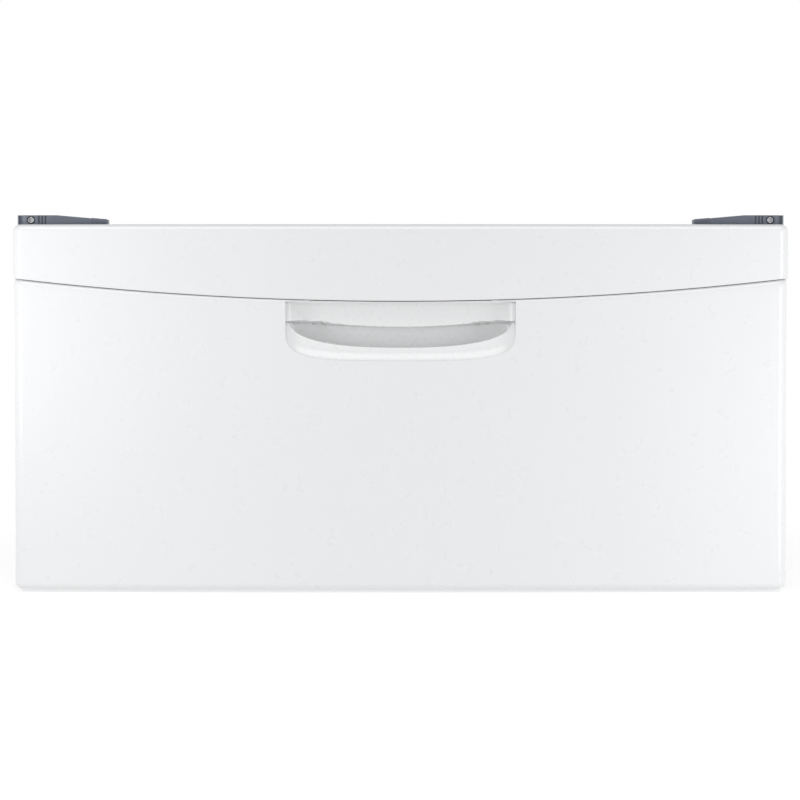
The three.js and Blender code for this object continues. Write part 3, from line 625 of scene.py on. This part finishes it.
def pocket_ring(side_inset, bottom_inset, power, y, curve_cut=0.0, fade=False):
    """One U-shaped line round the pocket, inset from its outline. A fading inset dies out up the sides."""
    top = cup_high.z
    bottom = POCKET_BOTTOM + bottom_inset
    curve = POCKET_CURVE - curve_cut
    half = POCKET_HALF - side_inset
    points = []
    for i in range(OUTLINE_STEPS + 1):
        angle = math.pi * i / OUTLINE_STEPS
        across = math.copysign(abs(math.cos(angle)) ** (2 / power), math.cos(angle))
        down = math.sin(angle) ** (2 / power) if 0 < i < OUTLINE_STEPS else 0.0
        points.append(Vector((-half * across, y, bottom + curve * (1 - down))))
    start = bottom + curve
    rise = [start + (top - start) * i / SIDE_ROWS for i in range(1, SIDE_ROWS + 1)]
    left = [Vector((-half, y, z)) for z in reversed(rise)]
    right = [Vector((half, y, z)) for z in rise]
    ring = left + points + right
    if fade:
        for point in ring:
            keep = 1 - eased((point.z - FADE_START) / FADE_HEIGHT)
            held = POCKET_HALF - FADE_INSET - side_inset * keep
            if abs(point.x) > held - side_inset * (1 - keep):
                point.x = math.copysign(min(abs(point.x) + side_inset * (1 - keep), held), point.x)
    return ring


def crease_at(x):
    """Height and width of the turn between the shallow wall and the finger room."""
    share = min(1.0, abs(x) / (POCKET_HALF - WALL_ROUND))
    height = POCKET_BOTTOM + CREASE_HEIGHT + CREASE_RISE * share ** 2
    return height, CREASE_WIDTH + CREASE_SPREAD * share ** 3


def back_limit(x, z):
    """How deep the pocket may be at a place on its face."""
    over = max(0.0, abs(x) - (POCKET_HALF - WALL_ROUND)) / WALL_ROUND
    wall = WALL_SIDE_DEPTH + (WALL_DEPTH - WALL_SIDE_DEPTH) * math.sqrt(max(0.0, 1 - over * over))
    height, width = crease_at(x)
    above = eased((z - height) / width + 0.5)
    return cup_low.y + SCOOP_DEPTH + (wall - SCOOP_DEPTH) * above


def back_wall(bm, foot, step):
    """The pocket's back above the scoop, with rows gathered at the turn."""
    half = abs(foot[0].x)
    top = cup_high.z
    rows = []
    for point in foot:
        height, width = crease_at(point.x)
        low, high = max(point.z, height - width / 2), height + width / 2
        gathered = between(point.z, low, FOOT_ROWS)[:-1] + between(low, high, TURN_ROWS)
        gathered += between(high, top, SIDE_ROWS - FOOT_ROWS - TURN_ROWS)[1:]
        even = between(point.z, top, SIDE_ROWS)
        calm = (abs(point.x) / half) ** 6
        heights = [a + (b - a) * calm for a, b in zip(gathered, even)]
        rows.append([Vector((point.x, min(point.y, back_limit(point.x, z) + step), z)) for z in heights])
    patch(bm, rows)


def roof(bm):
    """A thin plate over the pocket, under the seam."""
    half = POCKET_HALF + CUP_WALL
    low = cup_high.z - ROOF_OVERLAP
    front, back = cup_low.y + ROOF_SETBACK, cup_low.y + SCOOP_DEPTH + CUP_WALL
    part = bmesh.new()
    rows = []
    for x in between(-half, half, 40):
        high = SEAM_Z - SEAM_GAP / 2 + seam_rise(x) - ROOF_GAP
        section = ((front, low), (front, high), (back, high), (back, low), (front, low))
        rows.append([Vector((x, y, z)) for y, z in section])
    patch(part, rows)
    merge_closed(bm, part)


def merge_closed(bm, part):
    """Adds a closed surface, with any open ends filled, to a mesh."""
    bmesh.ops.remove_doubles(part, verts=part.verts, dist=WELD)
    rim = [e for e in part.edges if e.is_boundary]
    if rim:
        bmesh.ops.holes_fill(part, edges=rim, sides=0)
    bmesh.ops.recalc_face_normals(part, faces=part.faces)
    mesh = bpy.data.meshes.new("part")
    part.to_mesh(mesh)
    part.free()
    bm.from_mesh(mesh)
    bpy.data.meshes.remove(mesh)


def handle_cup():
    """Lines round the pocket, from the back of its flange over the lip into the finger room."""
    front, back = cup_low.y, cup_high.y
    lip_y = front + LIP_SETBACK
    behind = lip_y + LIP_THICKNESS
    rings = [
        pocket_ring(-CUP_WALL, -CUP_WALL, POCKET_POWER, back, -CUP_WALL),
        pocket_ring(-CUP_WALL, -CUP_WALL, POCKET_POWER, front + CUP_WALL, -CUP_WALL),
        pocket_ring(-CUP_FLANGE, -CUP_FLANGE, POCKET_POWER, front + CUP_WALL, -CUP_FLANGE),
        pocket_ring(-CUP_FLANGE, -CUP_FLANGE, POCKET_POWER, front, -CUP_FLANGE),
    ]
    outer_rings = len(rings)
    for angle in arc(16, LIP_TURN):     # hollow ramp, from the face up to the lip's top
        up = 1 - math.cos(angle) / math.cos(LIP_TURN)
        power = POCKET_POWER + (LIP_POWER - POCKET_POWER) * up
        y = front + LIP_SETBACK * (math.sin(angle) - math.sin(LIP_TURN)) / (1 - math.sin(LIP_TURN))
        rings.append(pocket_ring(LIP_SIDE * up, LIP_HEIGHT * up, power, y, LIP_SIDE * up, True))
    for angle in arc(8, math.radians(15), math.radians(165)):      # over its top
        rise = LIP_CROWN * math.sin(angle)
        y = (lip_y + behind) / 2 - (behind - lip_y) / 2 * math.cos(angle)
        rings.append(pocket_ring(LIP_SIDE + rise / 2, LIP_HEIGHT + rise, LIP_POWER, y, LIP_SIDE, True))
    for share in between(0, 1, 6):      # down its back
        down = 1 - share * (1 - LIP_ROOT)
        power = POCKET_POWER + (LIP_POWER - POCKET_POWER) * down
        y = behind + LIP_LEAN * share
        rings.append(pocket_ring(LIP_SIDE * down, LIP_HEIGHT * down, power, y, LIP_SIDE * down, True))
    start_y, end_y = behind + LIP_LEAN, front + SCOOP_DEPTH
    for angle in arc(18)[1:]:           # finger room
        up = 1 - math.cos(angle)
        y = start_y + (end_y - start_y) * math.sin(angle)
        side = LIP_SIDE * LIP_ROOT + (SCOOP_SIDE - LIP_SIDE * LIP_ROOT) * up
        floor_inset = LIP_HEIGHT * LIP_ROOT + (SCOOP_FLOOR - LIP_HEIGHT * LIP_ROOT) * up
        power = POCKET_POWER + (LIP_POWER - POCKET_POWER) * (LIP_ROOT + (1 - LIP_ROOT) * up)
        curve_cut = LIP_SIDE * LIP_ROOT * (1 - up) + SCOOP_CURVE_CUT * up
        rings.append(pocket_ring(side, floor_inset, power, y, curve_cut))
    inner = rings[outer_rings:]
    for index, ring in enumerate(inner):
        for point in ring:
            point.y = min(point.y, back_limit(point.x, point.z) + index * RING_STEP)
    bm = bmesh.new()
    patch(bm, rings)
    outside = rings[0][SIDE_ROWS:-SIDE_ROWS]
    patch(bm, [[Vector((p.x, p.y, z)) for z in between(p.z, cup_high.z, SIDE_ROWS)] for p in outside])
    back_wall(bm, rings[-1][SIDE_ROWS:-SIDE_ROWS], (len(inner) - 1) * RING_STEP)
    whole = bmesh.new()
    merge_closed(whole, bm)
    roof(whole)
    stand_in(new_object("handle_cup_fine", whole), "handle_cup", "moulded_white")


front_band()
drawer_front()
handle_cup()


# Folded sheets, mouldings and turned pieces

def turned_rings(bm, profile, centre, axis, steps=48):
    """A turned surface from radius and distance pairs along the axis."""
    turn = Vector((0, 0, 1)).rotation_difference(axis).to_matrix().to_4x4()
    place = Matrix.Translation(centre) @ turn
    rows = []
    for radius, along in profile:
        rows.append([place @ Vector((radius * math.cos(a), radius * math.sin(a), along))
                     for a in arc(steps, 0, FULL_TURN)])
    patch(bm, rows)


def middle(low, high):
    return (low + high) / 2


PAD_HOLLOW = 0.6 * MM           # of the sole between its grip rings
PAD_RIM = 4 * MM
PAD_RIM_ROUND = 1.2 * MM
PAD_SOLE_ROUND = 0.5 * MM
PAD_NECK = 11 * MM
PAD_BORE = 5.3 * MM
PAD_FLOOR = 4 * MM              # bottom of the bore
STUD_RADIUS = 5 * MM
STUD_PITCH = 1.5 * MM
COLLAR_RADIUS = 9 * MM
COLLAR_HEIGHT = 8 * MM
COLLAR_LIFT = 3 * MM
NUT_RADIUS = 9.8 * MM


def levelling_foot(corner):
    pad = f"foot_pad_{corner}"
    low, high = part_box(pad)
    centre = middle(low, high)
    centre.z = 0
    radius, height = (high.x - low.x) / 2, high.z - low.z
    profile = [(0, PAD_HOLLOW), (radius - 7 * MM, PAD_HOLLOW)]
    for i in range(4):              # grip rings under the sole
        r = radius - 6.5 * MM + 1.5 * MM * i
        profile += [(r, PAD_HOLLOW), (r + 0.4 * MM, 0), (r + 0.9 * MM, 0), (r + 1.2 * MM, PAD_HOLLOW)]
    profile += [(radius - 0.4 * MM, 0.3 * MM)]
    for a in arc(4):                # sole's edge
        out = radius - PAD_SOLE_ROUND * (1 - math.sin(a))
        profile.append((out, 0.8 * MM - PAD_SOLE_ROUND * math.cos(a)))
    shoulder, rim_start = radius - PAD_RIM_ROUND, PAD_RIM - PAD_RIM_ROUND
    profile += [(radius, rim_start)]
    for a in arc(5)[1:]:            # rim
        out = radius - PAD_RIM_ROUND * (1 - math.cos(a))
        profile.append((out, PAD_RIM - PAD_RIM_ROUND * (1 - math.sin(a))))
    flank_top = height - 0.5 * MM
    for a in arc(10)[1:]:           # hollow flank up to the neck
        out = shoulder - (shoulder - PAD_NECK) * math.sin(a)
        profile.append((out, flank_top - (flank_top - PAD_RIM) * math.cos(a)))
    profile += [(PAD_NECK - 0.5 * MM, height), (PAD_BORE + 0.4 * MM, height), (PAD_BORE, height - 0.4 * MM)]
    profile += [(PAD_BORE, PAD_FLOOR), (0, PAD_FLOOR)]
    bm = bmesh.new()
    turned_rings(bm, profile, centre, Vector((0, 0, 1)))
    bmesh.ops.remove_doubles(bm, verts=bm.verts, dist=WELD)
    bmesh.ops.recalc_face_normals(bm, faces=bm.faces)
    stand_in(new_object(f"{pad}_fine", bm), pad, "rubber")

    stud = f"foot_stud_{corner}"
    low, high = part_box(stud)
    bm = bmesh.new()
    thread(bm, centre, STUD_RADIUS, STUD_PITCH, low.z, high.z)
    collar_z = height + COLLAR_LIFT
    hexagon(bm, centre, COLLAR_RADIUS, collar_z, collar_z + COLLAR_HEIGHT)
    stand_in(new_object(f"{stud}_fine", bm), stud, "zinc")

    nut = f"weld_nut_{corner}"
    low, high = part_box(nut)
    bm = bmesh.new()
    hexagon(bm, centre, NUT_RADIUS, low.z, high.z, bore=PAD_BORE)
    stand_in(new_object(f"{nut}_fine", bm), nut, "zinc")


def thread(bm, centre, radius, pitch, z0, z1, steps=28):
    """A screw thread with a chamfered tip at both ends, as one closed surface."""
    depth = 0.6 * pitch
    chamfer = 1.2 * MM
    rows = [[Vector((centre.x, centre.y, z0))] * (steps + 1)]
    count = round((z1 - z0) / (pitch / 5))
    for j in range(count + 1):
        z = z0 + (z1 - z0) * j / count
        taper = min(1.0, (z - z0) / chamfer, (z1 - z) / chamfer)
        row = []
        for i in range(steps + 1):
            angle = FULL_TURN * i / steps
            phase = (z / pitch - i / steps) % 1.0
            crest = 1 - abs(2 * phase - 1)
            r = radius - depth * (1 - min(1.0, 1.25 * crest))
            r = min(r, radius - depth * (1 - taper))
            row.append(Vector((centre.x + r * math.cos(angle), centre.y + r * math.sin(angle), z)))
        rows.append(row)
    rows.append([Vector((centre.x, centre.y, z1))] * (steps + 1))
    patch(bm, rows)
    bmesh.ops.remove_doubles(bm, verts=bm.verts, dist=WELD)
    bmesh.ops.recalc_face_normals(bm, faces=bm.faces)


def hexagon(bm, centre, radius, z0, z1, bore=4 * MM, steps=60):
    """A hexagon with its corners chamfered by a cone at both ends, round a bore."""
    flat = radius * math.cos(math.pi / 6)
    chamfer = 0.5 * (radius - flat) + 0.3 * MM
    rows = []
    levels = [(z0, bore), (z0, None)] + [(z, None) for z in between(z0 + 0.2 * MM, z1 - 0.2 * MM, 14)]
    levels += [(z1, None), (z1, bore), (z0, bore)]
    for z, fixed in levels:
        row = []
        for i in range(steps + 1):
            angle = FULL_TURN * i / steps
            within = (angle + math.pi / 6) % (math.pi / 3) - math.pi / 6
            edge = flat / math.cos(within)
            near = min(z - z0, z1 - z)
            cone = flat - 0.2 * MM + near * (radius - flat) / chamfer * 1.6
            r = fixed if fixed is not None else min(edge, cone)
            turn = angle + math.pi / 6
            row.append(Vector((centre.x + r * math.cos(turn), centre.y + r * math.sin(turn), z)))
        rows.append(row)
    part = bmesh.new()
    patch(part, rows)
    merge_closed(bm, part)


def fixing(node, outward, head, head_height, shank, recess, socket_share=0.36):
    """A pan-headed fixing along Y with a six-lobed socket in its head."""
    low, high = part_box(node)
    centre = middle(low, high)
    start = low.y if outward < 0 else high.y
    length = high.y - low.y
    steps = 72
    rows = []

    def ring(radius, along, socket=False):
        row = []
        for i in range(steps + 1):
            angle = FULL_TURN * i / steps
            r = radius * (1 + 0.16 * math.cos(6 * angle)) if socket else radius
            row.append(Vector((centre.x + r * math.cos(angle), start - outward * along,
                               centre.z + r * math.sin(angle))))
        rows.append(row)

    ring(0, recess)
    ring(socket_share * head, recess, True)
    ring(socket_share * head, 0.1 * head_height, True)
    ring((socket_share + 0.06) * head, 0.0, True)
    ring(0.72 * head, 0.0)
    for a in arc(6):
        along = head_height * 0.75 * (1 - math.cos(a)) + 0.02 * head_height
        ring(head * (0.74 + 0.26 * math.sin(a)), along)
    ring(head, head_height)
    ring(shank, head_height)
    ring(shank, length - shank / 2)
    ring(shank * 0.6, length)
    ring(0, length)
    bm = bmesh.new()
    patch(bm, rows)
    bmesh.ops.remove_doubles(bm, verts=bm.verts, dist=WELD)
    bmesh.ops.recalc_face_normals(bm, faces=bm.faces)
    stand_in(new_object(f"{node}_fine", bm), node, "zinc")


def add_box(bm, low, high):
    place = Matrix.Translation((low + high) / 2) @ Matrix.Diagonal((*(high - low), 1))
    bmesh.ops.create_cube(bm, size=1, matrix=place)


HOLDER_ROUND = 0.7 * MM
HOLDER_SLOPE_START = 36 * MM    # the top falls from here to the inner end
HOLDER_DROP = 4 * MM
HOLDER_GROOVES = (19.5 * MM, 22.4 * MM, 25.3 * MM)
GROOVE_WIDTH = 1.3 * MM
NUB_PITCH = 1.9 * MM
NUB_RADIUS = 0.7 * MM
NUB_EDGE = 1.2 * MM             # no stud stands closer than this to the top edge


def foot_holder(depth, side):
    """The CAD holder with soft edges, grooves, an end slot and a field of small studs at its inner end."""
    node = f"foot_holder_{depth}_{side}"
    low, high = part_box(node)
    out = -1 if side == "left" else 1
    outer_x = low.x if out < 0 else high.x
    face = low.y if depth == "front" else high.y
    inward = 1 if depth == "front" else -1

    def along(distance):
        return outer_x - out * distance

    def block(bm, x0, x1, y0, y1, z0, z1):
        xs, ys = sorted((along(x0), along(x1))), sorted((face + inward * y0, face + inward * y1))
        add_box(bm, Vector((xs[0], ys[0], z0)), Vector((xs[1], ys[1], z1)))

    bm = node_shape(node)
    bevel(bm, [e for e in steep_edges(bm, CUT_EDGE_ANGLE) if e.is_convex], HOLDER_ROUND, 3)
    obj = new_object(f"{node}_fine", bm)

    cutter = bmesh.new()
    block(cutter, 2.2 * MM, 5.4 * MM, -1 * MM, 5 * MM, low.z + 1.2 * MM, high.z + 1 * MM)
    for start in HOLDER_GROOVES:
        block(cutter, start, start + GROOVE_WIDTH, -1 * MM, 1.6 * MM, low.z + 1.5 * MM, high.z + 1 * MM)
    tool = new_object(f"{node}_cuts", cutter)
    cut = obj.modifiers.new("grooves", "BOOLEAN")
    cut.operation = "DIFFERENCE"
    cut.solver = "EXACT"
    cut.object = tool
    applied(obj)
    bpy.data.objects.remove(tool)

    bm = bmesh.new()
    bm.from_mesh(obj.data)
    length = high.x - low.x

    def top_at(distance):
        down = (distance - HOLDER_SLOPE_START) / (length - HOLDER_SLOPE_START)
        return high.z - HOLDER_DROP * max(0.0, down)

    for i in range(7):
        distance = length - 2.2 * MM - i * NUB_PITCH
        shift = NUB_PITCH / 2 if i % 2 else 0.0
        for j in range(4):
            z = low.z + 1.6 * MM + j * NUB_PITCH + shift
            if z < top_at(distance) - NUB_EDGE:
                nub(bm, Vector((along(distance), face, z)), Vector((0, -inward, 0)), NUB_RADIUS)
        for j in range(6):
            back = 1.8 * MM + j * NUB_PITCH + shift
            place = Vector((along(distance), face + inward * back, top_at(distance)))
            nub(bm, place, Vector((0, 0, 1)), NUB_RADIUS)
    for edge in bm.edges:
        edge.smooth = len(edge.link_faces) == 2 and edge.calc_face_angle() < SHARP
    bm.to_mesh(obj.data)
    bm.free()
    stand_in(obj, node, "holder_plastic")


def nub(bm, place, axis, radius):
    """A small rounded stud standing on a face, its root sunk into it."""
    height = 0.75 * radius
    profile = [(0, -0.3 * radius), (radius, -0.3 * radius), (radius, 0)]
    profile += [(radius * math.cos(a), height * math.sin(a)) for a in arc(3)[1:]]
    part = bmesh.new()
    turned_rings(part, profile, place, axis, steps=10)
    merge_closed(bm, part)


for panel in SIDES:
    bent(f"side_panel_{panel}", "enamel", PANEL, 1.6 * MM)
    bent(f"drawer_side_{panel}", "galvanised", BOX_SHEET)
    for member in ("outer", "middle", "inner"):
        bent(f"slide_{member}_{panel}", "slide_steel", SLIDE, 0.8 * MM)
    bent(f"base_rail_{panel}", "galvanised", RAIL, 2 * MM)
bent("top_deck", "enamel", DECK, 1.5 * MM)
bent("back_panel", "galvanised", PANEL)
bent("drawer_floor", "galvanised", BOX_SHEET)
bent("drawer_back", "galvanised", BOX_SHEET)
bent("drawer_front_liner", "inner_paint", BOX_SHEET)
for end in ("front", "rear"):
    bent(f"base_rail_{end}", "galvanised", RAIL, 2 * MM)
    bent(f"top_rail_{end}", "galvanised", POST, 1.5 * MM)
    for panel in SIDES:
        bent(f"corner_post_{end}_{panel}", "galvanised", POST, 1.5 * MM)


def ball_cage(kind, side):
    """The stamped cage with its balls, their facets halved."""
    node = f"ball_cage_{kind}_{side}"
    bm = bmesh.new()
    bm.from_mesh(nodes[node].data)
    bmesh.ops.remove_doubles(bm, verts=bm.verts, dist=WELD)
    short = [e for e in bm.edges if e.calc_length() < 2 * MM]
    bmesh.ops.subdivide_edges(bm, edges=short, cuts=1, use_grid_fill=True)
    stand_in(new_object(f"{node}_fine", bm), node, "bright_steel")


for cage_side in SIDES:
    ball_cage("outer", cage_side)
    ball_cage("inner", cage_side)

for bumper_side in SIDES:
    rounded(f"bumper_{bumper_side}", "rubber", 0.5 * MM)

for corner_depth, corner_side in CORNERS:
    levelling_foot(f"{corner_depth}_{corner_side}")
    foot_holder(corner_depth, corner_side)
    fixing(
        f"holder_bolt_{corner_depth}_{corner_side}", -1 if corner_depth == "front" else 1,
        head=3.4 * MM, head_height=4.4 * MM, shank=2 * MM, recess=3.8 * MM, socket_share=0.52,
    )
for level in ("lower", "upper"):
    for screw_side in SIDES:
        fixing(
            f"drawer_screw_{level}_{screw_side}", 1,
            head=4 * MM, head_height=1.8 * MM, shank=2 * MM, recess=1.2 * MM,
        )


# Stage, light and camera

lowest, highest = cad_box


FLOOR_REACH = 30.0
FLOOR_GLOW = 0.55               # light that the floor gives off, like a light table


def floor():
    look = Finish("studio_floor", (0.48, 0.48, 0.48), 0.9)
    look.tint(look.noise(3, 2), (0.475, 0.475, 0.475), (0.485, 0.485, 0.485))
    look.shader.inputs["Emission Color"].default_value = (1, 1, 1, 1)
    look.shader.inputs["Emission Strength"].default_value = FLOOR_GLOW
    bm = bmesh.new()
    corners = ((-1, -1), (1, -1), (1, 1), (-1, 1))
    bm.faces.new([bm.verts.new((x * FLOOR_REACH, y * FLOOR_REACH, 0)) for x, y in corners])
    obj = new_object("studio_floor", bm)
    obj.data.materials.append(look.material)


def area_light(name, place, target, width, height, power):
    light = bpy.data.lights.new(name, "AREA")
    light.shape = "RECTANGLE"
    light.size, light.size_y = width, height
    light.energy = power
    obj = bpy.data.objects.new(name, light)
    aim = (Vector(target) - Vector(place)).to_track_quat("-Z", "Y").to_matrix().to_4x4()
    obj.matrix_world = Matrix.Translation(place) @ aim
    obj.visible_camera = False
    bpy.context.scene.collection.objects.link(obj)


HORIZON = 0.2                   # sine of the height in the sky up to which the surroundings are white
ZENITH = 0.6                    # and from which they have the ceiling's brightness
CEILING = 0.5
KEY_STRENGTH = 1.15
KEY_SPREAD = math.radians(55)
KEY_DIRECTION = Vector((0, 0.4, -0.92))


def studio():
    """Even surroundings, a broad soft light from above the front and a small panel at each side of it."""
    world = bpy.data.worlds.new("studio")
    world.use_nodes = True
    tree = world.node_tree
    direction = tree.nodes.new("ShaderNodeSeparateXYZ")
    tree.links.new(tree.nodes.new("ShaderNodeTexCoord").outputs["Generated"], direction.inputs["Vector"])
    strength = tree.nodes.new("ShaderNodeMapRange")
    for name, number in (("From Min", HORIZON), ("From Max", ZENITH), ("To Min", 1.0), ("To Max", CEILING)):
        strength.inputs[name].default_value = number
    tree.links.new(direction.outputs["Z"], strength.inputs["Value"])
    background = tree.nodes["Background"]
    background.inputs["Color"].default_value = (1, 1, 1, 1)
    tree.links.new(strength.outputs["Result"], background.inputs["Strength"])
    bpy.context.scene.world = world

    sun = bpy.data.lights.new("key", "SUN")
    sun.energy = KEY_STRENGTH
    sun.angle = KEY_SPREAD
    obj = bpy.data.objects.new("key", sun)
    obj.matrix_world = KEY_DIRECTION.to_track_quat("-Z", "Y").to_matrix().to_4x4()
    bpy.context.scene.collection.objects.link(obj)
    area_light("left_panel", (-0.47, -0.58, 0.26), (-0.15, -0.35, 0.24), 0.12, 0.26, 0.33)
    area_light("right_panel", (0.48, -0.58, 0.16), (0.15, -0.35, 0.14), 0.12, 0.36, 0.32)


CAMERA_DISTANCE = 2.4           # camera to the middle of the front
CAMERA_HEIGHT = 0.28
CAMERA_PITCH = math.radians(2)  # downwards
FRONT_SHARE = 0.9735             # share of the picture's width that the front's top fills
FRAME_MIDDLE = 0.0098           # the front's middle lies this share of the picture below its centre
FRAME_SIDE = -0.0007            # and this share beside it
SENSOR = 36.0


def camera():
    data = bpy.data.cameras.new("camera")
    data.sensor_width = SENSOR
    data.lens = SENSOR * CAMERA_DISTANCE * FRONT_SHARE / (highest.x - lowest.x)
    obj = bpy.data.objects.new("camera", data)
    obj.location = (middle(lowest, highest).x, lowest.y - CAMERA_DISTANCE, CAMERA_HEIGHT)
    obj.rotation_euler = (RIGHT_ANGLE - CAMERA_PITCH, 0, 0)
    front_middle = (drawer_low.z + band_high.z) / 2
    below = math.atan((CAMERA_HEIGHT - front_middle) / CAMERA_DISTANCE) - CAMERA_PITCH
    data.shift_x = FRAME_SIDE
    data.shift_y = FRAME_MIDDLE - math.tan(below) * data.lens / SENSOR
    bpy.context.scene.collection.objects.link(obj)
    bpy.context.scene.camera = obj


floor()
studio()
camera()
bpy.context.scene.view_settings.view_transform = "Standard"
